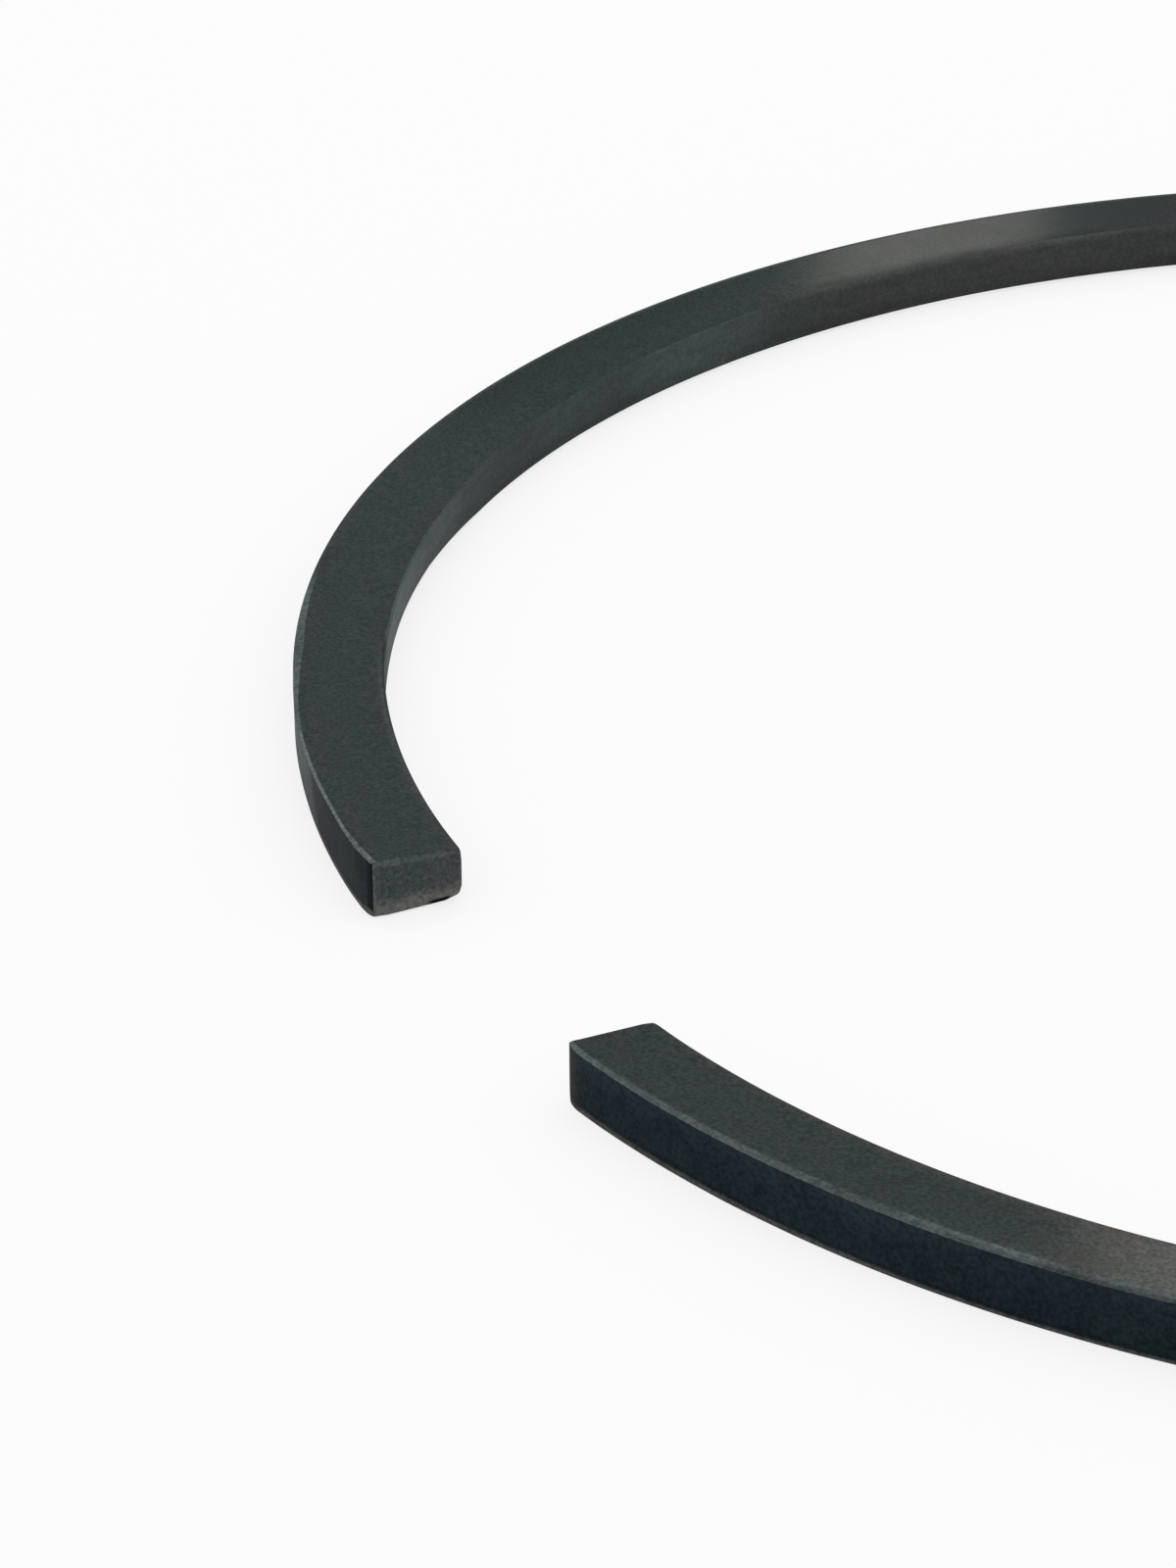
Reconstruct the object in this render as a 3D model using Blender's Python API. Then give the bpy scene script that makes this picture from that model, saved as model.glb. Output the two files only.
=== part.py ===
"""A keystone piston ring for a 125 mm bore, lying free, as it is before it is squeezed into its cylinder.

The ring is one piece of cast iron, closed all round apart from one straight cut. It is modelled the way
it is made: as a bar with the ring's section, as long as the ring is round, which is then bent to the
ring's free shape. The cut is at the front (-Y), the back is at +Y, and the ring lies on the lowest line
of its outer bottom edge, at Z = 0.
"""

import math

import bmesh
import bpy

MM = 0.001

# The cylinder, and the gap that the cut keeps when the ring is in it.
BORE_DIAMETER = 125.0 * MM
CLOSED_GAP = 0.5 * MM

# How far the ring springs open: the distance between its ends when it lies free.
FREE_GAP = 19.2 * MM

# The section. Both flanks fall away from the outer side, so that the ring is thinner inside.
RADIAL_WIDTH = 4.6 * MM
OUTER_HEIGHT = 3.1 * MM
TOP_FLANK_TAPER = math.radians(3.0)
BOTTOM_FLANK_TAPER = math.radians(3.0)

# The narrow flat bevel along the top outer edge: how wide it is on the flank, how deep on the outer side.
BEVEL_WIDTH = 0.40 * MM
BEVEL_DEPTH = 0.10 * MM

# The rounding of every other edge.
EDGE_RADIUS = 0.12 * MM
EDGE_STEPS = 2

# How finely the bar is divided along its length, and each of those steps when the free shape is summed.
STATIONS = 240
STEPS_PER_STATION = 8

# The two sharp edges of the outer bevel stay sharp in the shading, as any corner over this angle does.
SHARP_ANGLE = math.radians(9.0)

IRON_COLOUR = (0.040, 0.052, 0.051, 1.0)
IRON_ROUGHNESS = 0.55
IRON_METALLIC = 0.6

OUTER_RADIUS = BORE_DIAMETER / 2
NEUTRAL_RADIUS = OUTER_RADIUS - RADIAL_WIDTH / 2
END_ANGLE = math.pi - CLOSED_GAP / BORE_DIAMETER
BAR_LENGTH = 2 * END_ANGLE * NEUTRAL_RADIUS


def clear_scene():
    """Remove whatever the scene holds."""
    for old in list(bpy.data.objects):
        bpy.data.objects.remove(old, do_unlink=True)


def section():
    """The ring's section as (distance out from the neutral line, height) corners, going round once."""
    outer = RADIAL_WIDTH / 2
    inner = -RADIAL_WIDTH / 2

    def top(out):
        return OUTER_HEIGHT - (outer - out) * math.tan(TOP_FLANK_TAPER)

    def bottom(out):
        return (outer - out) * math.tan(BOTTOM_FLANK_TAPER)

    return [
        (outer, bottom(outer)),
        (outer, OUTER_HEIGHT - BEVEL_DEPTH),
        (outer - BEVEL_WIDTH, top(outer - BEVEL_WIDTH)),
        (inner, top(inner)),
        (inner, bottom(inner)),
    ]


def straight_bar():
    """The bar before it is bent: X runs along it, Y out from the neutral line and Z up."""
    bar = bmesh.new()
    ends = []
    for along in (-BAR_LENGTH / 2, BAR_LENGTH / 2):
        corners = [bar.verts.new((along, out, height)) for out, height in section()]
        ends.append(corners)
        bar.faces.new(corners)
    first, last = ends
    for index, corner in enumerate(first):
        after = (index + 1) % len(first)
        bar.faces.new((corner, first[after], last[after], last[index]))
    bmesh.ops.recalc_face_normals(bar, faces=bar.faces[:])
    return bar


def on_outer_bevel(edge):
    """Whether the edge runs along the bar and borders the outer bevel, which keeps its own form."""
    bevel_start = RADIAL_WIDTH / 2 - 1.5 * BEVEL_WIDTH
    above_bevel = OUTER_HEIGHT - 1.5 * BEVEL_DEPTH
    along_bar = abs(edge.verts[0].co.x - edge.verts[1].co.x) > BAR_LENGTH / 2
    return along_bar and all(v.co.y > bevel_start and v.co.z > above_bevel for v in edge.verts)


def round_edges(bar):
    """Break the bar's other edges, along it and round both of its ends."""
    edges = [edge for edge in bar.edges if not on_outer_bevel(edge)]
    bmesh.ops.bevel(
        bar,
        geom=edges,
        offset=EDGE_RADIUS,
        offset_type="OFFSET",
        segments=EDGE_STEPS,
        profile=0.5,
        affect="EDGES",
    )


def divide_along(bar):
    """Cut the bar into stations, so that it can be bent."""
    long_edges = [edge for edge in bar.edges if edge.calc_length() > BAR_LENGTH / 2]
    bmesh.ops.subdivide_edges(bar, edges=long_edges, cuts=STATIONS - 1, use_grid_fill=True)


def heading(angle, opening):
    """How far the free ring has turned where the closed one has turned by angle from its back.

    A ring that presses evenly on its cylinder is opened by a bending that grows as 1 + cos(angle).
    """
    return angle - opening * (angle + math.sin(angle))


def free_line():
    """Points along half of the free neutral line, from the back to one end, as (length, x, y)."""
    opening = (FREE_GAP - CLOSED_GAP) / (3 * math.pi * NEUTRAL_RADIUS)
    steps = STATIONS * STEPS_PER_STATION
    step_angle = END_ANGLE / steps
    step_length = NEUTRAL_RADIUS * step_angle
    x = 0.0
    y = 0.0
    line = [(0.0, x, y)]
    for step in range(steps):
        turned = heading((step + 0.5) * step_angle, opening)
        x -= step_length * math.cos(turned)
        y -= step_length * math.sin(turned)
        line.append(((step + 1) * step_length, x, y))
    return line, opening


def bend(bar):
    """Bend the bar to the ring's free shape, with its middle at the back of the ring."""
    line, opening = free_line()
    step_length = line[1][0]
    last_step = len(line) - 2
    for vert in bar.verts:
        along, out, height = vert.co
        side = 1 if along > 0 else -1
        length = abs(along)
        step = min(int(length / step_length), last_step)
        share = length / step_length - step
        x = line[step][1] + share * (line[step + 1][1] - line[step][1])
        y = line[step][2] + share * (line[step + 1][2] - line[step][2])
        turned = heading(length / NEUTRAL_RADIUS, opening)
        vert.co.x = side * (x - out * math.sin(turned))
        vert.co.y = y + out * math.cos(turned)
        vert.co.z = height


def set_down(bar):
    """Move the ring so that its box is centred on the origin and its lowest line is at Z = 0."""
    lows = [min(vert.co[axis] for vert in bar.verts) for axis in range(3)]
    highs = [max(vert.co[axis] for vert in bar.verts) for axis in range(3)]
    shift = (-(lows[0] + highs[0]) / 2, -(lows[1] + highs[1]) / 2, -lows[2])
    bmesh.ops.translate(bar, verts=bar.verts[:], vec=shift)


def iron():
    """Dark, phosphate-coated cast iron."""
    material = bpy.data.materials.new("coated_cast_iron")
    material.use_nodes = True
    shader = material.node_tree.nodes["Principled BSDF"]
    shader.inputs["Base Color"].default_value = IRON_COLOUR
    shader.inputs["Roughness"].default_value = IRON_ROUGHNESS
    shader.inputs["Metallic"].default_value = IRON_METALLIC
    return material


def piston_ring():
    """The whole ring, as one closed solid."""
    bar = straight_bar()
    round_edges(bar)
    divide_along(bar)
    bend(bar)
    set_down(bar)
    bmesh.ops.recalc_face_normals(bar, faces=bar.faces[:])
    mesh = bpy.data.meshes.new("piston_ring")
    bar.to_mesh(mesh)
    bar.free()
    mesh.shade_smooth()
    mesh.set_sharp_from_angle(angle=SHARP_ANGLE)
    mesh.materials.append(iron())
    ring = bpy.data.objects.new("piston_ring", mesh)
    bpy.context.scene.collection.objects.link(ring)
    return ring


clear_scene()
piston_ring()
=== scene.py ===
"""The looks of a keystone piston ring, lying free on a pale floor.

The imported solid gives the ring's place and size. One detailed piece, ring_body, stands for it: the same
bar bent to the same free shape, with softened edges, a bevel that changes along the ring, broken corners
and the mottled dark finish of coated cast iron.

A place on the ring is given on the straight bar that it is bent from: how far it is along the bar from the
ring's back, how far out from the bar's middle, and how high above its lowest edge. Places along the bar
are positive towards the end whose cut face shows in the photograph, and negative towards the other one.
"""

import math

import bpy
import numpy as np
from mathutils import Matrix, Vector, noise

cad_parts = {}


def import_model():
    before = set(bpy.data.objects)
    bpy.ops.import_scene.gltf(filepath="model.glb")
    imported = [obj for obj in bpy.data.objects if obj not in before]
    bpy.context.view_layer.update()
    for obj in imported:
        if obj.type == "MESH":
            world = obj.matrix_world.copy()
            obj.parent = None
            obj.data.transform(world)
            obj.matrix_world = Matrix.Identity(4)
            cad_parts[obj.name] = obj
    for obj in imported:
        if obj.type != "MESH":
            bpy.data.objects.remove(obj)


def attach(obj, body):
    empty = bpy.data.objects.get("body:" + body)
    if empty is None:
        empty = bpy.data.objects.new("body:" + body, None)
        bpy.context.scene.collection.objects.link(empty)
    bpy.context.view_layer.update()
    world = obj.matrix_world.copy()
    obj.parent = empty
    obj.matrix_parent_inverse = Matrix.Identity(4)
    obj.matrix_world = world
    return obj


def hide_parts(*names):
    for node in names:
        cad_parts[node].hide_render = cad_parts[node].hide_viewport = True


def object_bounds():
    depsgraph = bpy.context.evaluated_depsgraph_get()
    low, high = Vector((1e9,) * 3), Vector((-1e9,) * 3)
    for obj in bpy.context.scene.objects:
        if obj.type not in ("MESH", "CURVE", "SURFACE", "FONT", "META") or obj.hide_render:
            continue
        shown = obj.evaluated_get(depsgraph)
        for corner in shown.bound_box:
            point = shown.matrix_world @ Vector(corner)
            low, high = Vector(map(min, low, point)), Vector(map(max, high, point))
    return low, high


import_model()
cad_low, cad_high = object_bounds()

MM = 0.001

# The ring's own sizes, as the solid has them.
BORE_DIAMETER = 125.0 * MM
CLOSED_GAP = 0.5 * MM
FREE_GAP = 19.2 * MM
RADIAL_WIDTH = 4.6 * MM
OUTER_HEIGHT = 3.1 * MM
FLANK_TAPER = math.radians(3.0)
EDGE_RADIUS = 0.12 * MM

NEUTRAL_RADIUS = (BORE_DIAMETER - RADIAL_WIDTH) / 2
END_ANGLE = math.pi - CLOSED_GAP / BORE_DIAMETER
HALF_LENGTH = END_ANGLE * NEUTRAL_RADIUS
OUTER = RADIAL_WIDTH / 2
INNER = -RADIAL_WIDTH / 2
MIDDLE_HEIGHT = OUTER_HEIGHT / 2
TAPER_RISE = math.tan(FLANK_TAPER)
SET_DOWN = EDGE_RADIUS * TAPER_RISE

# Which way along the bar each end lies: the one whose cut face shows in the photograph, and the other.
SHOWN_END = 1
HIDDEN_END = -1

# The fine surface stays this far inside the solid's box, which leaves room for its unevenness. At the
# bore it stands proud of the solid instead, as the photographed ring is a little wider.
SKIN = 0.010 * MM
BORE_SPARE = 0.05 * MM

# The photograph's camera: where it aims, from how far and at what angles, how long its lens is, and the
# nearest and farthest that it sees.
CAMERA_AIM = Vector((-11.99 * MM, -51.42 * MM, 3.094 * MM))
CAMERA_DISTANCE = 269.01 * MM
CAMERA_TURN = math.radians(61.7615)
CAMERA_TILT = math.radians(27.4280)
CAMERA_ROLL = math.radians(-0.4880)
FOCAL_PIXELS = 5641.67
PICTURE_HEIGHT = 1600
SENSOR = 36.0
CLIP_NEAR = 10 * MM
CLIP_FAR = 10.0

# How finely the bar is divided: between its ends, and close to each of them.
STATION_STEP = 0.34 * MM
FINE_STEP = 0.055 * MM
FINE_LENGTH = 2.2 * MM
FREE_LINE_STEPS = 2400

# Each end's edge is rounded in a few steps, and rows of points lead from it to the middle of the cut face.
END_RADIUS = 0.05 * MM
END_STEPS = 4
CAP_LOOPS = 14


def heading(angle, opening):
    """How far the free ring has turned where the closed one has turned by angle from its back."""
    return angle - opening * (angle + np.sin(angle))


def free_line():
    """Points along half of the free neutral line, from the back to one end, and how far it is opened."""
    opening = (FREE_GAP - CLOSED_GAP) / (3 * math.pi * NEUTRAL_RADIUS)
    step_angle = END_ANGLE / FREE_LINE_STEPS
    turned = heading((np.arange(FREE_LINE_STEPS) + 0.5) * step_angle, opening)
    step_length = NEUTRAL_RADIUS * step_angle
    x = np.concatenate([[0.0], np.cumsum(-step_length * np.cos(turned))])
    y = np.concatenate([[0.0], np.cumsum(-step_length * np.sin(turned))])
    lengths = np.arange(FREE_LINE_STEPS + 1) * step_length
    return lengths, x, y, opening


def bend(points):
    """Bend points of the straight bar, (along, out, height), to the free ring in its place."""
    lengths, line_x, line_y, opening = free_line()
    along, out, height = points[..., 0], points[..., 1], points[..., 2]
    side = np.where(along > 0, 1.0, -1.0)
    length = np.abs(along)
    x = np.interp(length, lengths, line_x)
    y = np.interp(length, lengths, line_y)
    turned = heading(np.minimum(length, HALF_LENGTH) / NEUTRAL_RADIUS, opening)
    beyond = np.maximum(length - HALF_LENGTH, 0.0)
    x = x - beyond * np.cos(turned)
    y = y - beyond * np.sin(turned)
    ring_back = cad_high.y
    bent = np.empty_like(points)
    bent[..., 0] = side * (x - out * np.sin(turned))
    bent[..., 1] = y + out * np.cos(turned) + ring_back - OUTER
    bent[..., 2] = height - SET_DOWN
    return bent


# The section's sizes that change along the bar: pairs of a place and the size there, in millimetres. A
# spare is how far an edge stands out past the plain section. The bore's edges are worn rounder in places
# on the side that leads to the end whose cut face shows.
CHANGING_SIZES = {
    "bevel_width": (
        (-189, 0.29), (-184, 0.35), (-176, 0.44), (-168, 0.54), (-158, 0.68),
        (100, 0.30), (157, 0.26), (161, 0.36), (166, 0.50), (169.5, 0.32),
        (172, 0.22), (179, 0.17), (185.3, 0.16), (187, 0.26), (189, 0.26),
    ),
    "bevel_depth": (
        (-189, 0.05), (-188, 0.10), (-150, 0.10), (-100, 0.07), (100, 0.055),
        (155, 0.055), (166, 0.10), (178, 0.08), (185, 0.075), (188, 0.10),
    ),
    "upper_outer_spare": (
        (169, 0.0), (176, 0.16), (183, 0.115), (185.5, 0.15), (187.2, 0.145), (188.7, 0.0),
    ),
    "lower_outer_spare": ((176, 0.0), (186, 0.09), (187.8, 0.08), (188.7, 0.0)),
    "upper_bore_spare": ((138, 0.0), (147, 0.20), (162, 0.20), (166, 0.03), (170, 0.0)),
    "upper_bore_radius": ((70, 0.10), (82, 0.24), (106, 0.24), (118, 0.09), (150, 0.09), (168, 0.15)),
    "lower_bore_radius": ((100, 0.12), (115, 0.03), (142, 0.03), (150, 0.50), (158, 0.50), (166, 0.12)),
}
LOWER_EDGE_RADIUS = 0.07 * MM
BEVEL_EDGE_RADIUS = 0.035 * MM
FLANK_EDGE_RADIUS = 0.50 * MM
SMALLEST_RADIUS = 0.008 * MM

# The section's faces, which go round from the bottom outer corner, up the running face. Each face is
# divided into steps, and so is the rounded corner before it.
FACES = ("running_face", "bevel", "top_flank", "inner_face", "bottom_flank")
FACE_STEPS = {"running_face": 5, "bevel": 2, "top_flank": 9, "inner_face": 5, "bottom_flank": 6}
CORNER_STEPS = {"running_face": 6, "bevel": 4, "top_flank": 4, "inner_face": 6, "bottom_flank": 6}
# How many of a corner's steps still belong to the face before.
STEPS_BEFORE = {"running_face": 3, "bevel": 2, "top_flank": 2, "inner_face": 0, "bottom_flank": 3}
# Each face has a point this close to both of its corners, which keeps the shading of its flat part even.
SUPPORT = 0.02 * MM


def size_at(name, along):
    """One of the changing sizes, at a place along the bar."""
    places, sizes = zip(*CHANGING_SIZES[name])
    return float(np.interp(along / MM, places, sizes)) * MM


def section_corners(along):
    """The sharp corners that start each face, in the order of FACES."""
    outer = OUTER - SKIN
    upper_outer = outer + size_at("upper_outer_spare", along)
    lower_outer = outer + size_at("lower_outer_spare", along)
    bevel_width = size_at("bevel_width", along)
    bevel_depth = size_at("bevel_depth", along)
    bore = INNER - BORE_SPARE
    upper_bore = bore - size_at("upper_bore_spare", along)

    def top(out):
        return OUTER_HEIGHT - SKIN - (OUTER - out) * TAPER_RISE

    def bottom(out):
        return SKIN / 2 + (OUTER - out) * TAPER_RISE

    return [
        Vector((lower_outer, bottom(outer))),
        Vector((upper_outer, OUTER_HEIGHT - bevel_depth)),
        Vector((upper_outer - bevel_width, top(outer - bevel_width))),
        Vector((upper_bore, top(upper_bore))),
        Vector((bore, bottom(bore))),
    ]


def corner_radii(along):
    """How round the section's corners are at a place along the bar, in the order of FACES."""
    return [
        LOWER_EDGE_RADIUS,
        BEVEL_EDGE_RADIUS,
        FLANK_EDGE_RADIUS,
        size_at("upper_bore_radius", along),
        size_at("lower_bore_radius", along),
    ]


def inward(direction):
    """The direction into the section, from a side of it that runs in the given direction."""
    return Vector((-direction.y, direction.x))


def corner_arc(corner, before, after, radius, inset, steps):
    """Points round one corner of the section, between the sides before and after it."""
    turn = before.angle(after)
    middle = inward(before) + inward(after)
    drawn_in = corner + middle * (inset / (1 + inward(before).dot(inward(after))))
    radius = max(radius - inset, SMALLEST_RADIUS)
    reach = radius * math.tan(turn / 2)
    centre = drawn_in - before * reach + inward(before) * radius
    spoke = -inward(before) * radius
    return [centre + Matrix.Rotation(turn * step / steps, 2) @ spoke for step in range(steps + 1)]


def outline(along, inset):
    """The rounded section, drawn in by inset: points (out, height), and the face that each one starts."""
    corners = section_corners(along)
    radii = corner_radii(along)
    count = len(corners)
    directions = [(corners[(i + 1) % count] - corners[i]).normalized() for i in range(count)]
    arcs = []
    for index, face in enumerate(FACES):
        before = directions[index - 1]
        after = directions[index]
        arcs.append(corner_arc(corners[index], before, after, radii[index], inset, CORNER_STEPS[face]))
    points = []
    faces = []
    for index, face in enumerate(FACES):
        arc = arcs[index]
        for step, point in enumerate(arc[:-1]):
            points.append(point)
            faces.append(index if step >= STEPS_BEFORE[face] else (index - 1) % count)
        start = arc[-1]
        end = arcs[(index + 1) % count][0]
        run = (end - start).normalized()
        first = start + run * SUPPORT
        last = end - run * SUPPORT
        steps = FACE_STEPS[face]
        points.append(start)
        for step in range(steps + 1):
            points.append(first.lerp(last, step / steps))
        faces.extend([index] * (steps + 2))
    return points, faces


def stations():
    """Places along the bar, close together near its ends."""
    limit = HALF_LENGTH - END_RADIUS
    fine = np.arange(0, FINE_LENGTH, FINE_STEP)
    middle_half = limit - FINE_LENGTH
    middle_steps = round(2 * middle_half / STATION_STEP)
    middle = np.linspace(-middle_half, middle_half, middle_steps + 1)
    return np.concatenate([-limit + fine, middle, (limit - fine)[::-1]])


def bar_row(along, inset):
    """A row of points round the bar, drawn in by inset, and the face that each one starts."""
    points, faces = outline(along, inset)
    flat = np.array([(p.x, p.y) for p in points])
    return np.column_stack([np.full(len(flat), along), flat]), faces


def end_rows(end):
    """The rows of one end, from the middle of its cut face outwards and round its edge."""
    rows = []
    centre = np.array([0.0, MIDDLE_HEIGHT])
    cut, _ = bar_row(end * HALF_LENGTH, END_RADIUS)
    for loop in range(1, CAP_LOOPS):
        row = cut.copy()
        row[:, 1:] = centre + (cut[:, 1:] - centre) * (loop / CAP_LOOPS)
        rows.append(row)
    for step in range(END_STEPS):
        angle = math.pi / 2 * step / END_STEPS
        inset = END_RADIUS * (1 - math.sin(angle))
        place = HALF_LENGTH - END_RADIUS * (1 - math.cos(angle))
        row, _ = bar_row(end * place, inset)
        rows.append(row)
    return rows


def bar_rows():
    """Rows of points round the bar, from one end's middle to the other's, and the face of each column."""
    rows = end_rows(HIDDEN_END)
    for along in stations():
        row, faces = bar_row(along, 0.0)
        rows.append(row)
    rows.extend(reversed(end_rows(SHOWN_END)))
    return np.array(rows), faces


# The surface wanders inwards by a few thousandths of a millimetre, in long waves and short ones.
UNEVENNESS = 0.006 * MM
EVEN_SHARE = 0.5
LONG_WAVE = 2.4 * MM
LONG_SHARE = 0.35
SHORT_WAVE = 0.35 * MM
SHORT_SHARE = 0.3


def uneven(rows):
    """Let the surface wander by a few thousandths of a millimetre, always inwards."""
    made = rows.copy()
    for row in made:
        for point in row:
            long_wave = noise.noise(Vector(point) / LONG_WAVE)
            short_wave = noise.noise(Vector(point) / SHORT_WAVE)
            push = UNEVENNESS * (EVEN_SHARE + LONG_SHARE * long_wave + SHORT_SHARE * short_wave)
            point[1] -= math.copysign(push, point[1])
            point[2] -= math.copysign(push, point[2] - MIDDLE_HEIGHT)
    return made


# Damage, given by the corner of the cut face that it starts from, how far it reaches from there along the
# ring, across the cut face and up or down it, and how softly it ends, in millimetres.
BROKEN_CORNERS = (
    {"end": SHOWN_END, "out": INNER, "top": False, "reach": (0.44, 0.38, 0.32), "soft": 0.090},
    {"end": SHOWN_END, "out": INNER, "top": True, "reach": (0.20, 0.26, 0.20), "soft": 0.060},
    {"end": SHOWN_END, "out": OUTER, "top": False, "reach": (0.40, 0.34, 0.20), "soft": 0.045},
    {"end": HIDDEN_END, "out": OUTER, "top": True, "reach": (0.12, 0.14, 0.09), "soft": 0.020},
    {"end": HIDDEN_END, "out": OUTER, "top": False, "reach": (0.22, 0.17, 0.17), "soft": 0.030},
    {"end": HIDDEN_END, "out": INNER, "top": True, "reach": (0.13, 0.13, 0.11), "soft": 0.055},
)
# Damage moves only points this close to the end, and none that lies under its slanting face by this many
# times its softness.
DAMAGE_LENGTH = 4 * MM
DAMAGE_DEPTH = 6
# The broken faces are rough to this depth, in grains of this size.
ROUGH_DEPTH = 0.018 * MM
ROUGH_GRAIN = 0.22 * MM


def break_corner(rows, end, out, top, reach, soft):
    """Cut the bar's surface back to a rough slanting face at one corner of an end."""
    rise = (OUTER - out) * TAPER_RISE
    height = OUTER_HEIGHT - rise if top else rise
    corner = np.array([end * HALF_LENGTH, out, height])
    towards = np.array([-end, -math.copysign(1, out), -1 if top else 1])
    slope = towards / (np.array(reach) * MM)
    steepness = np.linalg.norm(slope)
    normal = slope / steepness
    near = np.abs(rows[..., 0] - corner[0]) < DAMAGE_LENGTH
    points = rows[near]
    outside = (1 - (points - corner) @ slope) / steepness
    rough = np.array([noise.noise(Vector(p) / ROUGH_GRAIN) for p in points])
    outside = outside + ROUGH_DEPTH * rough
    width = soft * MM
    push = width * np.logaddexp(0, outside / width)
    push[outside < -DAMAGE_DEPTH * width] = 0
    rows[near] = points + push[:, None] * normal


# Both ends are a little longer than their halves of the solid, in millimetres. The cut that does not show
# is out of square, in degrees, and rounded at its outer side. Both are set in by as much as keeps them
# inside the solid's box.
LONGER_ENDS = (
    {"end": HIDDEN_END, "longer": 0.40, "out_of_square": 4.8, "set_in": 0.037, "rounded": 0.27},
    {"end": SHOWN_END, "longer": 0.10, "out_of_square": 0.0, "set_in": 0.014, "rounded": 0.0},
)
LONGER_OVER = 3.0 * MM
ROUNDED_OVER = 0.8 * MM


def stretch_end(rows, end, longer, out_of_square, set_in, rounded):
    """Draw out the last few millimetres of an end, and round the upright edge at its outer side."""
    lean = math.tan(math.radians(out_of_square))
    before_end = HALF_LENGTH - end * rows[..., 0]
    into = np.clip(1 - before_end / LONGER_OVER, 0.0, 1.0)
    close = np.clip(1 - before_end / ROUNDED_OVER, 0.0, 1.0)
    outer_part = np.clip(1 - (OUTER - rows[..., 1]) / ROUNDED_OVER, 0.0, 1.0)
    made = rows.copy()
    made[..., 0] += end * into**2 * (longer * MM + rows[..., 1] * lean)
    made[..., 1] -= into**2 * set_in * MM + close**2 * outer_part * rounded * MM
    return made


def ring_faces(row_count, column_faces):
    """The quads between the rows, the triangles at the middles of both ends, and the finish of each."""
    column_count = len(column_faces)
    cut_face_slot = len(FACES)
    cap_rows = CAP_LOOPS - 1 + END_STEPS // 2
    polygons = []
    slots = []
    for row in range(row_count - 1):
        on_cap = row < cap_rows or row >= row_count - 1 - cap_rows
        here = row * column_count
        there = here + column_count
        for column in range(column_count):
            after = (column + 1) % column_count
            polygons.append((here + column, here + after, there + after, there + column))
            slots.append(cut_face_slot if on_cap else column_faces[column])
    last_row = (row_count - 1) * column_count
    first_middle = row_count * column_count
    last_middle = first_middle + 1
    for column in range(column_count):
        after = (column + 1) % column_count
        polygons.append((first_middle, after, column))
        polygons.append((last_middle, last_row + column, last_row + after))
        slots.extend([cut_face_slot, cut_face_slot])
    return polygons, slots


# Places round the bar run from 0 to 1. A polygon whose places are further apart than this crosses the seam
# between the two, and its places below the second value are carried on past 1.
SEAM_SPAN = 0.75
SEAM_LOW = 0.25


def wrap(mesh, bar_points, column_count):
    """Give the mesh coordinates along the bar and round it, which the brushed finishes follow."""
    first_middle = len(bar_points) - 2
    girth = np.concatenate([np.arange(column_count) / column_count, [0.5]])
    loop_points = np.empty(len(mesh.loops), np.int32)
    mesh.loops.foreach_get("vertex_index", loop_points)
    columns = np.where(loop_points >= first_middle, column_count, loop_points % column_count)
    u = (bar_points[loop_points, 0] / HALF_LENGTH + 1) / 2
    v = girth[columns]
    for polygon in mesh.polygons:
        part = v[polygon.loop_start:polygon.loop_start + polygon.loop_total]
        if part.max() - part.min() > SEAM_SPAN:
            part[part < SEAM_LOW] += 1.0
    layer = mesh.uv_layers.new(name="wrap")
    layer.data.foreach_set("uv", np.column_stack([u, v]).astype(np.float32).ravel())


def ring_mesh():
    """The ring as one closed mesh, with its place on the straight bar kept for the finish."""
    rows, column_faces = bar_rows()
    rows = uneven(rows)
    for damage in BROKEN_CORNERS:
        break_corner(rows, **damage)
    for end in LONGER_ENDS:
        rows = stretch_end(rows, **end)
    end_middles = [rows[0].mean(axis=0), rows[-1].mean(axis=0)]
    bar_points = np.vstack([rows.reshape(-1, 3), *end_middles])
    polygons, slots = ring_faces(len(rows), column_faces)
    mesh = bpy.data.meshes.new("ring_body")
    mesh.from_pydata(bend(bar_points).tolist(), [], polygons)
    mesh.polygons.foreach_set("material_index", slots)
    place = mesh.attributes.new("bar_place", "FLOAT_VECTOR", "POINT")
    place.data.foreach_set("vector", bar_points.astype(np.float32).ravel())
    wrap(mesh, bar_points, len(column_faces))
    mesh.validate()
    mesh.shade_smooth()
    return mesh


# The sockets of a Mix node that take its two colours and give its result.
MIX_FIRST = 6
MIX_SECOND = 7
MIX_RESULT = 2


def node(tree, kind, **values):
    """A node of a kind, with its properties set."""
    made = tree.nodes.new(kind)
    for name, value in values.items():
        setattr(made, name, value)
    return made


def plug(tree, socket, value):
    """Set an input to a number or a colour, or link it to another node's output."""
    if isinstance(value, bpy.types.NodeSocket):
        tree.links.new(value, socket)
    elif isinstance(value, tuple):
        socket.default_value = (*value, 1.0)
    else:
        socket.default_value = value


# The gloss of the matt faces, and the tints that the satin ones take at a flat angle.
MATT_SPECULAR = 0.012
FLANK_EDGE_TINT = (0.60, 0.64, 0.64)
RUBBED_EDGE_TINT = (0.62, 0.66, 0.66)

# How fine the patterns are that all the finishes share, and how much they change the surface.
SPECK = 0.20 * MM
TURNED_LINE = 0.11 * MM
TURNED_DEPTH = 0.004 * MM
LINE_STRETCH = 0.015
LINE_SHARE = 0.5
GLOSS_PATCH = 1.6 * MM
GLOSS_CHANGE = 0.06

# The part of a noise pattern's levels that a finish draws out to its whole range.
NOISE_RANGE = (0.3, 0.7)
MOTTLE_RANGE = (0.36, 0.66)

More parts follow.
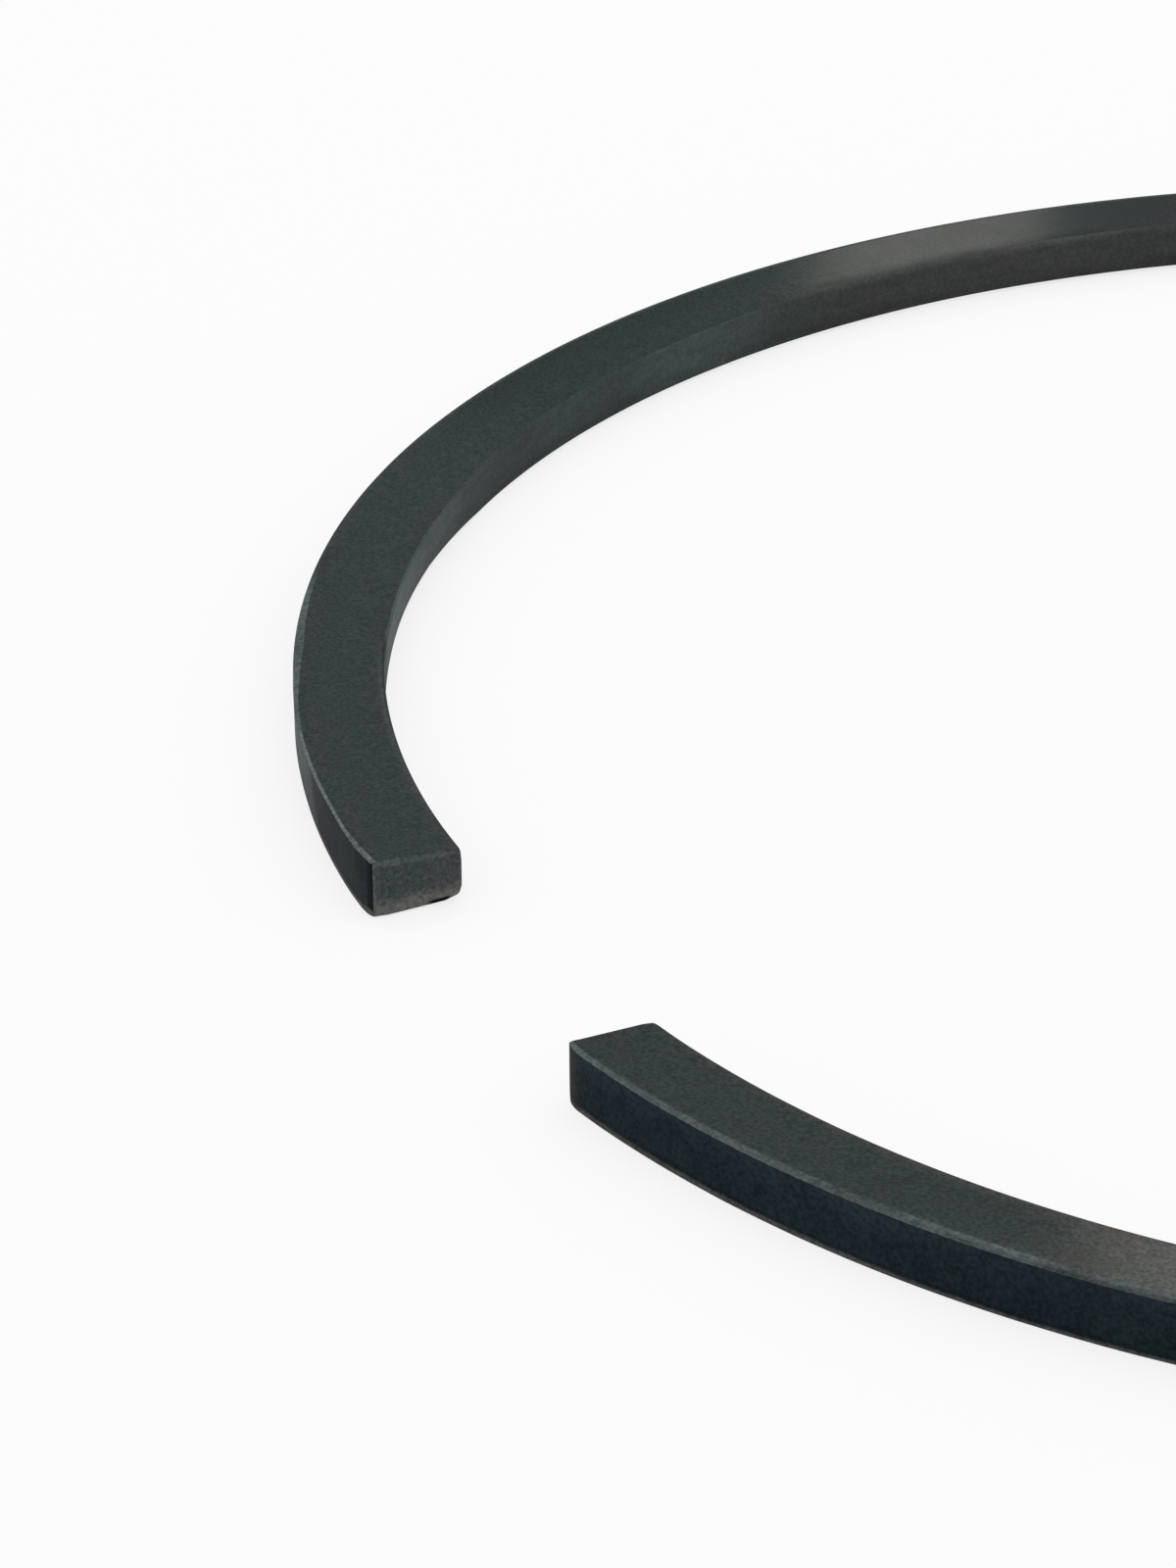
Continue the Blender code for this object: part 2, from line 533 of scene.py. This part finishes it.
# How much sharper the flanks' reflections are in one direction, and the turn that lays it along the ring.
BRUSHING = 0.6
QUARTER_TURN = 0.25


class Finish:
    """A dark coated iron surface, built up from the colour underneath to what lies on it.

    A pattern is a number, or the output of a node. The shift of a noise pattern picks another part of it,
    so that two of them do not follow each other.
    """

    def __init__(self, name, roughness, edge_tint=None):
        self.material = bpy.data.materials.new(name)
        self.material.use_nodes = True
        self.tree = self.material.node_tree
        self.shader = self.tree.nodes["Principled BSDF"]
        self.roughness = roughness
        self.shader.inputs["Roughness"].default_value = roughness
        if edge_tint:
            self.shader.inputs["Metallic"].default_value = 1.0
            self.shader.inputs["Specular Tint"].default_value = (*edge_tint, 1.0)
        else:
            self.shader.inputs["Specular IOR Level"].default_value = MATT_SPECULAR
        place = node(self.tree, "ShaderNodeAttribute", attribute_name="bar_place")
        self.place = place.outputs["Vector"]
        parts = node(self.tree, "ShaderNodeSeparateXYZ")
        self.tree.links.new(self.place, parts.inputs[0])
        self.along, self.out, self.height = parts.outputs
        self.colour = None

    def math(self, operation, first, second=0.0, third=0.0):
        """The output of a Math node for two or three patterns."""
        made = node(self.tree, "ShaderNodeMath", operation=operation)
        for socket, value in zip(made.inputs, (first, second, third)):
            plug(self.tree, socket, value)
        return made.outputs[0]

    def both(self, first, second):
        """The product of two patterns, which is there only where both of them are."""
        return self.math("MULTIPLY", first, second)

    def ramp(self, value, low, high, start=0.0, end=1.0):
        """A smooth step from start to end, as the value goes from low to high."""
        made = node(self.tree, "ShaderNodeMapRange", interpolation_type="SMOOTHSTEP")
        for name, number in (
            ("Value", value),
            ("From Min", low),
            ("From Max", high),
            ("To Min", start),
            ("To Max", end),
        ):
            plug(self.tree, made.inputs[name], number)
        return made.outputs["Result"]

    def course(self, *points):
        """A level that changes along the ring, by pairs of a place in millimetres and the level there."""
        total = points[0][1]
        for (low, before), (high, after) in zip(points, points[1:]):
            step = self.ramp(self.along, low * MM, high * MM, 0.0, after - before)
            total = self.math("ADD", total, step)
        return total

    def stretched(self, along=1.0, out=1.0):
        """The place on the bar, drawn out or pressed together along it and across it."""
        made = node(self.tree, "ShaderNodeVectorMath", operation="MULTIPLY")
        made.inputs[1].default_value = (along, out, 1.0)
        self.tree.links.new(self.place, made.inputs[0])
        return made.outputs[0]

    def noise(self, feature, detail=2.0, place=None, shift=0.0):
        """A noise pattern about 0.5, whose features are about as large as feature, in metres."""
        made = node(self.tree, "ShaderNodeTexNoise", noise_dimensions="4D")
        made.inputs["Scale"].default_value = 1 / feature
        made.inputs["Detail"].default_value = detail
        made.inputs["W"].default_value = shift
        self.tree.links.new(place or self.place, made.inputs["Vector"])
        return made.outputs["Fac"]

    def ragged(self, value, amount, feature, detail=2.0, place=None, shift=0.0):
        """A value with up to an amount of noise added, so that the edges drawn by it are ragged."""
        return self.math("MULTIPLY_ADD", self.noise(feature, detail, place, shift), amount, value)

    def tint(self, share, colour):
        """Turn the colour towards another one, by a share."""
        made = node(self.tree, "ShaderNodeMix", data_type="RGBA")
        plug(self.tree, made.inputs["Factor"], share)
        plug(self.tree, made.inputs[MIX_FIRST], self.colour)
        plug(self.tree, made.inputs[MIX_SECOND], colour)
        self.colour = made.outputs[MIX_RESULT]

    def shade(self, level):
        """Multiply the colour by a pattern."""
        made = node(self.tree, "ShaderNodeVectorMath", operation="SCALE")
        plug(self.tree, made.inputs[0], self.colour)
        plug(self.tree, made.inputs["Scale"], level)
        self.colour = made.outputs[0]

    def lighten(self, share):
        """Make the colour lighter by a share, or darker where the share is below zero."""
        self.shade(self.math("ADD", share, 1.0))

    def mottle(self, green, neutral, blotch=1.3 * MM, shift=0.0):
        """Soft blotches of two dark greys."""
        self.colour = green
        self.tint(self.ramp(self.noise(blotch, 5.0, shift=shift), *MOTTLE_RANGE), neutral)

    def grained(self, cloud=0.65 * MM, contrast=0.07, speckle=0.28, calm=1.0, shift=0.0):
        """Fine clouds and a finer speckle over the whole colour, weaker where calm is below one."""
        clouds = self.ramp(self.noise(cloud, 3.0, shift=shift + 7), *NOISE_RANGE, -contrast, contrast)
        self.grain = self.noise(SPECK, 2.0, shift=shift + 3)
        specks = self.ramp(self.grain, *NOISE_RANGE, -speckle, speckle)
        self.shade(self.math("MULTIPLY_ADD", self.math("ADD", clouds, specks), calm, 1.0))

    def turned_lines(self, strength):
        """Faint lines along the ring, and the uneven gloss that they and the coating leave."""
        lines = self.noise(TURNED_LINE, 2.0, place=self.stretched(along=LINE_STRETCH))
        height = self.math("MULTIPLY_ADD", lines, LINE_SHARE, self.grain)
        bump = node(self.tree, "ShaderNodeBump")
        bump.inputs["Strength"].default_value = strength
        bump.inputs["Distance"].default_value = TURNED_DEPTH
        self.tree.links.new(height, bump.inputs["Height"])
        self.tree.links.new(bump.outputs["Normal"], self.shader.inputs["Normal"])
        uneven_gloss = self.noise(GLOSS_PATCH, 3.0, shift=11)
        least = self.roughness * (1 - GLOSS_CHANGE)
        most = self.roughness * (1 + GLOSS_CHANGE)
        gloss = self.ramp(uneven_gloss, *NOISE_RANGE, least, most)
        self.tree.links.new(gloss, self.shader.inputs["Roughness"])

    def brushed_along(self):
        """Sharper reflections along the ring than across it, as its turned faces have."""
        tangent = node(self.tree, "ShaderNodeTangent", direction_type="UV_MAP", uv_map="wrap")
        self.tree.links.new(tangent.outputs[0], self.shader.inputs["Tangent"])
        self.shader.inputs["Anisotropic"].default_value = BRUSHING
        self.shader.inputs["Anisotropic Rotation"].default_value = QUARTER_TURN

    def done(self):
        """The finished material."""
        self.tree.links.new(self.colour, self.shader.inputs["Base Color"])
        return self.material


# The flanks' colours, as linear red, green and blue.
FLANK_GREEN = (0.0388, 0.0540, 0.0524)
FLANK_GREY = (0.0446, 0.0512, 0.0510)
BACK_GREY = (0.0365, 0.0375, 0.0385)
LAMPLIT_GREEN = (0.0362, 0.0490, 0.0480)
BROWNISH_GREY = (0.0535, 0.0530, 0.0555)
PALE_LINE_GREY = (0.083, 0.088, 0.086)
FRINGE_BROWN = (0.073, 0.067, 0.066)
HIDDEN_END_GREY = (0.0450, 0.0510, 0.0525)
DEEP_GREEN = (0.0355, 0.0560, 0.0545)
# A painted highlight beside the bevel.
SOFT_HIGHLIGHT_GREEN = (0.066, 0.083, 0.081)

# The bevel's rough width at the end whose cut does not show, and how it grows along the ring from there.
NEAR_BEVEL_WIDTH = 0.27 * MM
NEAR_BEVEL_GROWTH = 0.009


def flank_greys(finish):
    """How the upper face's grey changes along the ring, and across it in the far arc, with painted shade
    where the lamps' reflections fade towards the inner edge.
    """
    overall = finish.course((82, 0.97), (92, 0.93), (100, 0.96), (112, 0.86), (130, 0.86), (142, 1.06))
    finish.shade(overall)
    outer_half = finish.both(
        finish.ramp(finish.out, -1.0 * MM, 1.5 * MM),
        finish.course((104, 0.0), (112, -0.10), (134, -0.10), (144, 0.0)),
    )
    finish.lighten(outer_half)
    at_back = finish.both(
        finish.ramp(finish.along, 88 * MM, 97 * MM, 1.0, 0.0),
        finish.ramp(finish.along, -60 * MM, 60 * MM),
    )
    finish.tint(at_back, BACK_GREY)
    under_lamp = finish.course((84, 0.0), (90, 0.75), (104, 0.75), (110, 0.0))
    finish.tint(under_lamp, LAMPLIT_GREEN)
    # Painted shade: darker near the inner edge, where the near lamp's reflection falls.
    near_inner_edge = finish.both(
        finish.ramp(finish.out, INNER + 0.15 * MM, INNER + 0.75 * MM, 1.0, 0.0),
        finish.course((-164, 0.0), (-160, -0.24), (-140, 0.0)),
    )
    finish.lighten(near_inner_edge)
    # Painted shade: streaky darkening towards the inner edge under the far lamp, where the lamp's reflection
    # fades.
    streaky_out = finish.ragged(
        finish.out, 1.2 * MM, 0.8 * MM, 3.0, finish.stretched(along=0.16, out=0.5), shift=23
    )
    reflection_fade_shade = finish.both(
        finish.ramp(streaky_out, INNER + 0.60 * MM, INNER + 1.80 * MM, 1.0, 0.0),
        finish.course((84, 0.0), (92, -0.50), (106, -0.50), (112, 0.0)),
    )
    finish.lighten(reflection_fade_shade)


def flank_wear(finish):
    """Browner patches beside the upper face's edges, and a paler line and a fringe along its inner one."""
    patches = finish.ramp(finish.noise(2.4 * MM, 4.0, shift=27), 0.44, 0.58)
    beside_edges = finish.math(
        "MAXIMUM",
        finish.ramp(finish.out, INNER + 0.3 * MM, INNER + 1.2 * MM, 1.0, 0.0),
        finish.ramp(finish.out, OUTER - 1.3 * MM, OUTER - 0.5 * MM, 0.0, 1.0),
    )
    browner = finish.both(
        finish.both(patches, beside_edges),
        finish.course((134, 0.0), (146, 0.85), (188, 0.85)),
    )
    finish.tint(browner, BROWNISH_GREY)
    pale_inner_line = finish.both(
        finish.ramp(finish.out, INNER + 0.12 * MM, INNER + 0.45 * MM, 1.0, 0.0),
        finish.course((164, 0.0), (171, 0.75), (181, 0.65), (187, 0.1)),
    )
    finish.tint(pale_inner_line, PALE_LINE_GREY)
    ragged_out = finish.ragged(finish.out, 0.5 * MM, 0.5 * MM, shift=21)
    fringe = finish.both(
        finish.ramp(ragged_out, INNER + 0.15 * MM, INNER + 1.1 * MM, 1.0, 0.0),
        finish.course(
            (-188, 0.45), (-172, 0.80), (-168, 0.95), (-164, 0.35), (-160.5, 0.0), (176, 0.0), (185, 0.5)
        ),
    )
    finish.tint(fringe, FRINGE_BROWN)


def flank_near_side(finish):
    """The upper face near the end whose cut does not show, with a painted highlight as a paler edge beside
    the bevel.
    """
    by_hidden_end = finish.ramp(finish.along, -HALF_LENGTH + 0.1 * MM, -HALF_LENGTH + 0.9 * MM, 0.8, 0.0)
    finish.tint(by_hidden_end, HIDDEN_END_GREY)
    greener = finish.course((-162, 0.0), (-155, 0.7), (-150, 0.7), (-110, 0.0))
    finish.tint(greener, DEEP_GREEN)
    # Painted highlight: a paler edge beside the bevel, where the bevel's highlight spreads softly onto the
    # flank.
    widening = finish.math(
        "MULTIPLY_ADD",
        finish.along,
        NEAR_BEVEL_GROWTH,
        HALF_LENGTH * NEAR_BEVEL_GROWTH + NEAR_BEVEL_WIDTH,
    )
    beside_bevel = finish.math("ADD", finish.out, widening)
    soft_edge_highlight = finish.both(
        finish.ramp(beside_bevel, OUTER - 0.30 * MM, OUTER, 0.0, 0.6),
        finish.ramp(finish.along, -160 * MM, -140 * MM, 1.0, 0.0),
    )
    finish.tint(soft_edge_highlight, SOFT_HIGHLIGHT_GREEN)
    # Painted highlight: the flank's outer part drawn lighter beside the bevel.
    highlight_beside_bevel = finish.both(
        finish.ramp(finish.out, OUTER - 1.7 * MM, OUTER - 0.5 * MM),
        finish.course((-171, 0.0), (-167.5, 0.24), (-164.5, 0.24), (-161, 0.0)),
    )
    finish.lighten(highlight_beside_bevel)


def top_flank():
    """The upper face: greenish dark grey, browner and paler in places along its inner edge, with a painted
    highlight beside the bevel and painted shade where the lamps' reflections fade.
    """
    finish = Finish("top_flank", 0.145, FLANK_EDGE_TINT)
    finish.mottle(FLANK_GREEN, FLANK_GREY)
    flank_greys(finish)
    flank_wear(finish)
    flank_near_side(finish)
    finish.grained(calm=finish.course((78, 1.0), (88, 0.45), (104, 0.45), (112, 1.0)))
    finish.turned_lines(0.15)
    finish.brushed_along()
    return finish.done()


def bottom_flank():
    """The lower face, which lies on the floor."""
    finish = Finish("bottom_flank", 0.2, FLANK_EDGE_TINT)
    finish.mottle(FLANK_GREEN, FLANK_GREY, shift=5)
    finish.grained(shift=5)
    finish.turned_lines(0.15)
    finish.brushed_along()
    return finish.done()


# The running face's colours.
RUNNING_GREEN = (0.0116, 0.0194, 0.0212)
RUNNING_BLUE = (0.0119, 0.0170, 0.0256)
LIT_GREEN = (0.054, 0.068, 0.067)
UNDER_BEVEL_BLACK = (0.006, 0.010, 0.011)
LOW_BLACK = (0.004, 0.008, 0.008)
SHOWN_END_BLACK = (0.001, 0.002, 0.002)
LOW_EDGE_BROWN = (0.072, 0.071, 0.068)
ROUNDED_END_GREY = (0.0265, 0.0275, 0.0270)
ROUNDED_END_BLACK = (0.012, 0.011, 0.011)


def running_face():
    """The outer side: nearly black, bluer in places, with a paler brownish line along its lower edge and
    painted light and shade.
    """
    finish = Finish("running_face", 0.46)
    finish.mottle(RUNNING_GREEN, RUNNING_BLUE, blotch=3.2 * MM)
    overall = finish.course(
        (-179, 1.06), (-172, 1.20), (-164, 1.04), (0, 1.0),
        (178, 1.0), (180.5, 0.84), (184, 0.80), (188, 1.12),
    )
    finish.shade(overall)
    # Painted light: the face is drawn lighter towards its top.
    finish.shade(finish.ramp(finish.height, 1.6 * MM, 3.0 * MM, 1.0, 1.25))
    # Painted reflection: a paler green stretch, brighter higher up, that ends softly about 8 mm before the
    # shown cut.
    lit_side = finish.both(
        finish.ramp(finish.height, 0.6 * MM, 2.2 * MM, 0.55, 0.95),
        finish.course((148, 0.0), (158, 0.4), (168, 0.9), (178.3, 1.05), (180.5, 0.0)),
    )
    finish.tint(lit_side, LIT_GREEN)
    under_bevel = finish.both(
        finish.ramp(finish.height, 1.1 * MM, 2.3 * MM),
        finish.course((178.3, 0.0), (180.6, 0.85), (184.5, 0.80), (187.5, 0.50)),
    )
    finish.tint(under_bevel, UNDER_BEVEL_BLACK)
    ragged_height = finish.ragged(finish.height, 0.12 * MM, 0.6 * MM, shift=13)
    thinner = finish.course((-180, 0.0), (-163, 0.09 * MM), (-100, 0.0))
    ragged_height = finish.math("ADD", ragged_height, thinner)
    # Painted shade: a dark band low on the face, above its paler lower edge.
    finish.tint(finish.ramp(ragged_height, 0.50 * MM, 0.66 * MM, 0.35, 0.0), LOW_BLACK)
    # Painted shade: a black line along the rounded edge beside the shown cut.
    slanting_along = finish.math("MULTIPLY_ADD", finish.height, -0.05, finish.along)
    by_shown_end = finish.ramp(slanting_along, HALF_LENGTH - 0.50 * MM, HALF_LENGTH - 0.32 * MM, 0.0, 0.95)
    finish.tint(by_shown_end, SHOWN_END_BLACK)
    low_edge_drop = finish.course((187.6, 0.0), (188.6, -0.12 * MM))
    low_edge_height = finish.math("ADD", ragged_height, low_edge_drop)
    finish.tint(finish.ramp(low_edge_height, 0.28 * MM, 0.46 * MM, 1.0, 0.0), LOW_EDGE_BROWN)
    rounded_end = finish.ramp(finish.along, -HALF_LENGTH + 0.20 * MM, -HALF_LENGTH + 0.80 * MM, 0.75, 0.0)
    finish.tint(rounded_end, ROUNDED_END_GREY)
    very_end = finish.ramp(finish.along, -HALF_LENGTH - 0.06 * MM, -HALF_LENGTH + 0.06 * MM, 0.7, 0.0)
    finish.tint(very_end, ROUNDED_END_BLACK)
    finish.grained(cloud=1.2 * MM, contrast=0.12, speckle=0.30)
    finish.turned_lines(0.25)
    return finish.done()


# The bevel's colours, paler than the flanks: partly a lighter rubbed grey, partly a painted highlight.
BEVEL_GREEN = (0.073, 0.093, 0.091)
BEVEL_GREY = (0.080, 0.087, 0.088)
RUBBED_BRIGHT = (0.150, 0.175, 0.172)


def bevel():
    """The narrow bevel: a lighter rubbed grey under a painted highlight, brightest at its two ends."""
    finish = Finish("bevel", 0.3, RUBBED_EDGE_TINT)
    finish.mottle(BEVEL_GREEN, BEVEL_GREY, blotch=1.0 * MM)
    # Painted highlight and shade: the bevel's brightness along the ring.
    near_side = finish.course(
        (-189, 1.37), (-185, 1.05), (-181, 1.10), (-176, 1.02), (-172, 0.80), (-168, 0.98),
        (-166, 0.80), (-164, 0.92), (-161.8, 0.54), (-159.5, 0.74), (-158, 0.72),
    )
    far_side = finish.course(
        (20, 0.0), (60, -0.17), (148, -0.17), (156, -0.10), (160.5, 0.80), (166, 0.42),
        (170, 0.85), (173, 0.55), (177, 1.25), (185, 1.35), (188, 0.60),
    )
    finish.shade(finish.math("ADD", near_side, far_side))
    # Painted highlight: brighter towards the flank and a little darker at the outer edge, across the bevel.
    across = finish.both(
        finish.ramp(finish.out, OUTER - 0.50 * MM, OUTER - 0.12 * MM, 0.60, -0.12),
        finish.course((-172, 0.0), (-161, 1.0), (-150, 1.0), (-100, 0.0)),
    )
    finish.lighten(across)
    clump = finish.noise(0.9 * MM, 2.0, shift=31)
    rubbed = finish.both(
        finish.ramp(finish.along, HALF_LENGTH - 5 * MM, HALF_LENGTH - 1 * MM),
        finish.ramp(clump, 0.42, 0.62),
    )
    finish.tint(rubbed, RUBBED_BRIGHT)
    finish.grained(cloud=0.5 * MM, contrast=0.18)
    finish.turned_lines(0.15)
    return finish.done()


# The inner side's colours.
BORE_GREY = (0.0400, 0.0440, 0.0430)
BORE_PALE_GREY = (0.0430, 0.0440, 0.0430)
BORE_GREEN = (0.0470, 0.0610, 0.0595)


def inner_face():
    """The inner side: neutral dark grey at the back, greener towards the end whose cut face shows, with
    painted light and shade along and up it.
    """
    finish = Finish("inner_face", 0.46)
    finish.mottle(BORE_GREY, BORE_PALE_GREY)
    finish.tint(finish.ramp(finish.along, 103 * MM, 118 * MM, 0.0, 0.85), BORE_GREEN)
    # Painted shade: darker towards the floor.
    finish.shade(finish.ramp(finish.height, 0.4 * MM, 1.5 * MM, 0.85, 1.0))
    # Painted light and shade: lighter in stretches along the ring, most near the shown end where the side is
    # seen at a flat angle, and darker close to that end.
    to_shown_end = finish.course(
        (78, 1.08), (92, 1.20), (101, 1.20), (107, 1.12), (111, 1.06), (116, 1.30), (121, 1.30),
        (126, 1.0), (131, 1.12), (137, 1.0), (142, 1.06), (147, 1.32), (153, 1.50), (158, 1.67),
        (163, 1.60), (166, 0.55), (168, 0.70), (175, 0.8),
    )
    finish.shade(to_shown_end)
    # Painted highlight: the top of the inner side drawn lighter under the far lamp, where its edge is
    # rounder.
    under_lamp = finish.both(
        finish.ramp(finish.height, 2.35 * MM, 2.85 * MM, 0.0, 0.36),
        finish.course((82, 0.0), (90, 1.0), (104, 1.0), (112, 0.0)),
    )
    finish.lighten(under_lamp)
    streaks = finish.noise(0.5 * MM, 3.0, place=finish.stretched(along=0.18), shift=29)
    finish.shade(finish.ramp(streaks, *NOISE_RANGE, 0.92, 1.08))
    finish.grained(calm=0.5)
    finish.turned_lines(0.25)
    return finish.done()


# The cut faces' colours.
CUT_GREEN = (0.047, 0.061, 0.061)
CUT_GREY = (0.057, 0.060, 0.062)
CUT_BORE_GREY = (0.060, 0.063, 0.065)
CUT_LOW_BROWN = (0.122, 0.122, 0.112)
CHIP_RIM_GREY = (0.105, 0.108, 0.104)
CHIP_SHADE_BLACK = (0.004, 0.005, 0.005)
CUT_OUTER_BLUE = (0.082, 0.093, 0.100)
CUT_EDGE_BLACK = (0.004, 0.006, 0.006)


def cut_face():
    """The faces of the gap: matt grey, browner and paler near the floor, with a chip under the bore side,
    and painted highlight and shade at their edges and in the chip.
    """
    finish = Finish("cut_face", 0.45, RUBBED_EDGE_TINT)
    finish.mottle(CUT_GREEN, CUT_GREY, blotch=0.5 * MM)
    finish.tint(finish.ramp(finish.out, INNER + 0.7 * MM, INNER + 1.9 * MM, 0.8, 0.0), CUT_BORE_GREY)
    rise = finish.math("MULTIPLY_ADD", finish.out, TAPER_RISE, finish.height)
    above = finish.math("SUBTRACT", rise, OUTER * TAPER_RISE)
    ragged_above = finish.ragged(above, -0.9 * MM, 0.6 * MM, shift=17)
    finish.tint(finish.ramp(ragged_above, -0.15 * MM, 0.70 * MM, 0.90, 0.0), CUT_LOW_BROWN)
    # Painted highlight: a lighter line along the cut face's top edge.
    finish.shade(finish.ramp(finish.height, 2.55 * MM, 2.80 * MM, 1.0, 1.40))
    chipped = finish.both(
        finish.ramp(finish.out, -0.85 * MM, -0.40 * MM, 1.0, 0.0),
        finish.ramp(finish.out, -1.85 * MM, -1.60 * MM),
    )
    rim = finish.both(chipped, finish.ramp(above, 0.30 * MM, 0.42 * MM, 0.8, 0.0))
    finish.tint(rim, CHIP_RIM_GREY)
    # Painted shade: the chip's recess drawn nearly black.
    chip_shade = finish.both(chipped, finish.ramp(above, 0.19 * MM, 0.25 * MM, 1.0, 0.0))
    finish.tint(chip_shade, CHIP_SHADE_BLACK)
    finish.tint(finish.ramp(finish.out, OUTER - 0.32 * MM, OUTER - 0.22 * MM, 0.0, 0.8), CUT_OUTER_BLUE)
    # Painted shade: a black line along the rounded outer edge, above the floor.
    dark_edge = finish.both(
        finish.ramp(finish.out, OUTER - 0.15 * MM, OUTER - 0.10 * MM, 0.0, 0.9),
        finish.ramp(finish.height, 0.30 * MM, 0.44 * MM),
    )
    finish.tint(dark_edge, CUT_EDGE_BLACK)
    finish.grained(cloud=0.35 * MM, contrast=0.10, speckle=0.26)
    finish.turned_lines(0.35)
    return finish.done()


def ring_body():
    """The ring that shows, in place of the plain solid."""
    body = bpy.data.objects.new("ring_body", ring_mesh())
    bpy.context.scene.collection.objects.link(body)
    for finish in (running_face, bevel, top_flank, inner_face, bottom_flank, cut_face):
        body.data.materials.append(finish())
    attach(body, "root")
    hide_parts("piston_ring")


def camera():
    """The photograph's camera."""
    data = bpy.data.cameras.new("camera")
    data.sensor_width = SENSOR
    data.lens = SENSOR * FOCAL_PIXELS / PICTURE_HEIGHT
    data.clip_start = CLIP_NEAR
    data.clip_end = CLIP_FAR
    made = bpy.data.objects.new("camera", data)
    turn = Matrix.Rotation(CAMERA_TURN, 4, "Z") @ Matrix.Rotation(math.pi / 2 - CAMERA_TILT, 4, "X")
    backward = turn.to_3x3() @ Vector((0, 0, 1))
    place = Matrix.Translation(CAMERA_AIM + backward * CAMERA_DISTANCE)
    made.matrix_world = place @ turn @ Matrix.Rotation(CAMERA_ROLL, 4, "Z")
    bpy.context.scene.collection.objects.link(made)
    bpy.context.scene.camera = made


# The floor's size and colour, and how far it is drawn white where it is seen.
FLOOR_SIZE = 4.0
FLOOR_COLOUR = (0.92, 0.92, 0.92)
FLOOR_WHITENESS = 0.78


def floor():
    """A plain pale floor, drawn paler than its light makes it, so that only a soft shadow is left on it."""
    half = FLOOR_SIZE / 2
    corners = [(-half, -half, 0), (half, -half, 0), (half, half, 0), (-half, half, 0)]
    mesh = bpy.data.meshes.new("floor")
    mesh.from_pydata(corners, [], [(0, 1, 2, 3)])
    material = bpy.data.materials.new("floor")
    material.use_nodes = True
    tree = material.node_tree
    tree.nodes.remove(tree.nodes["Principled BSDF"])
    lit = node(tree, "ShaderNodeBsdfDiffuse")
    plug(tree, lit.inputs["Color"], FLOOR_COLOUR)
    white = node(tree, "ShaderNodeEmission")
    path = node(tree, "ShaderNodeLightPath")
    seen = path.outputs["Is Camera Ray"]
    for ray in ("Is Glossy Ray", "Is Transmission Ray"):
        either = node(tree, "ShaderNodeMath", operation="MAXIMUM")
        tree.links.new(seen, either.inputs[0])
        tree.links.new(path.outputs[ray], either.inputs[1])
        seen = either.outputs[0]
    share = node(tree, "ShaderNodeMath", operation="MULTIPLY")
    tree.links.new(seen, share.inputs[0])
    share.inputs[1].default_value = FLOOR_WHITENESS
    both = node(tree, "ShaderNodeMixShader")
    tree.links.new(share.outputs[0], both.inputs[0])
    tree.links.new(lit.outputs[0], both.inputs[1])
    tree.links.new(white.outputs[0], both.inputs[2])
    tree.links.new(both.outputs[0], tree.nodes["Material Output"].inputs["Surface"])
    mesh.materials.append(material)
    made = bpy.data.objects.new("floor", mesh)
    bpy.context.scene.collection.objects.link(made)


# The light from all round, and what is seen behind the ring.
WORLD_COLOUR = (0.80, 0.80, 0.80)
SEEN_WORLD_COLOUR = (0.96, 0.96, 0.96)


def world():
    """Even, pale light from all round, seen paler still behind the ring."""
    made = bpy.data.worlds.new("studio")
    made.use_nodes = True
    tree = made.node_tree
    background = tree.nodes["Background"]
    path = node(tree, "ShaderNodeLightPath")
    both = node(tree, "ShaderNodeMix", data_type="RGBA")
    tree.links.new(path.outputs["Is Camera Ray"], both.inputs["Factor"])
    plug(tree, both.inputs[MIX_FIRST], WORLD_COLOUR)
    plug(tree, both.inputs[MIX_SECOND], SEEN_WORLD_COLOUR)
    tree.links.new(both.outputs[MIX_RESULT], background.inputs["Color"])
    background.inputs["Strength"].default_value = 1.0
    bpy.context.scene.world = made


# Directions on the floor as the camera sees them.
AWAY = Vector((-math.sin(CAMERA_TURN), math.cos(CAMERA_TURN), 0))
RIGHT = Vector((math.cos(CAMERA_TURN), math.sin(CAMERA_TURN), 0))
UP = Vector((0, 0, 1))
RING_RADIUS = BORE_DIAMETER / 2
# The power of an area lamp of one square metre whose radiance is one.
LAMP_POWER = 4


def softbox(name, right, away, up, width, height, radiance, colour):
    """A rectangular lamp that faces the ring's middle. Places and sizes are in ring radii."""
    data = bpy.data.lights.new(name, "AREA")
    data.shape = "RECTANGLE"
    data.size = width * RING_RADIUS
    data.size_y = height * RING_RADIUS
    data.energy = LAMP_POWER * radiance * data.size * data.size_y
    data.color = colour
    made = bpy.data.objects.new(name, data)
    place = (RIGHT * right + AWAY * away + UP * up) * RING_RADIUS
    facing = (-place).to_track_quat("-Z", "Y").to_matrix().to_4x4()
    made.matrix_world = Matrix.Translation(place) @ facing
    made.visible_camera = False
    bpy.context.scene.collection.objects.link(made)


def lamps():
    """Two warm strips behind the ring, which show in its top flank, and a broad lamp above."""
    softbox(
        "far_strip",
        right=-0.197, away=4.0, up=1.59, width=0.325, height=0.60,
        radiance=1.58, colour=(1.0, 0.65, 0.58),
    )
    softbox(
        "near_strip",
        right=0.48, away=4.0, up=2.50, width=0.64, height=0.60,
        radiance=2.05, colour=(1.0, 0.61, 0.545),
    )
    softbox(
        "overhead",
        right=-1.0, away=2.0, up=9.0, width=7.0, height=7.0,
        radiance=0.8, colour=(1.0, 1.0, 1.0),
    )


bpy.context.scene.view_settings.view_transform = "Standard"
camera()
world()
floor()
lamps()
ring_body()
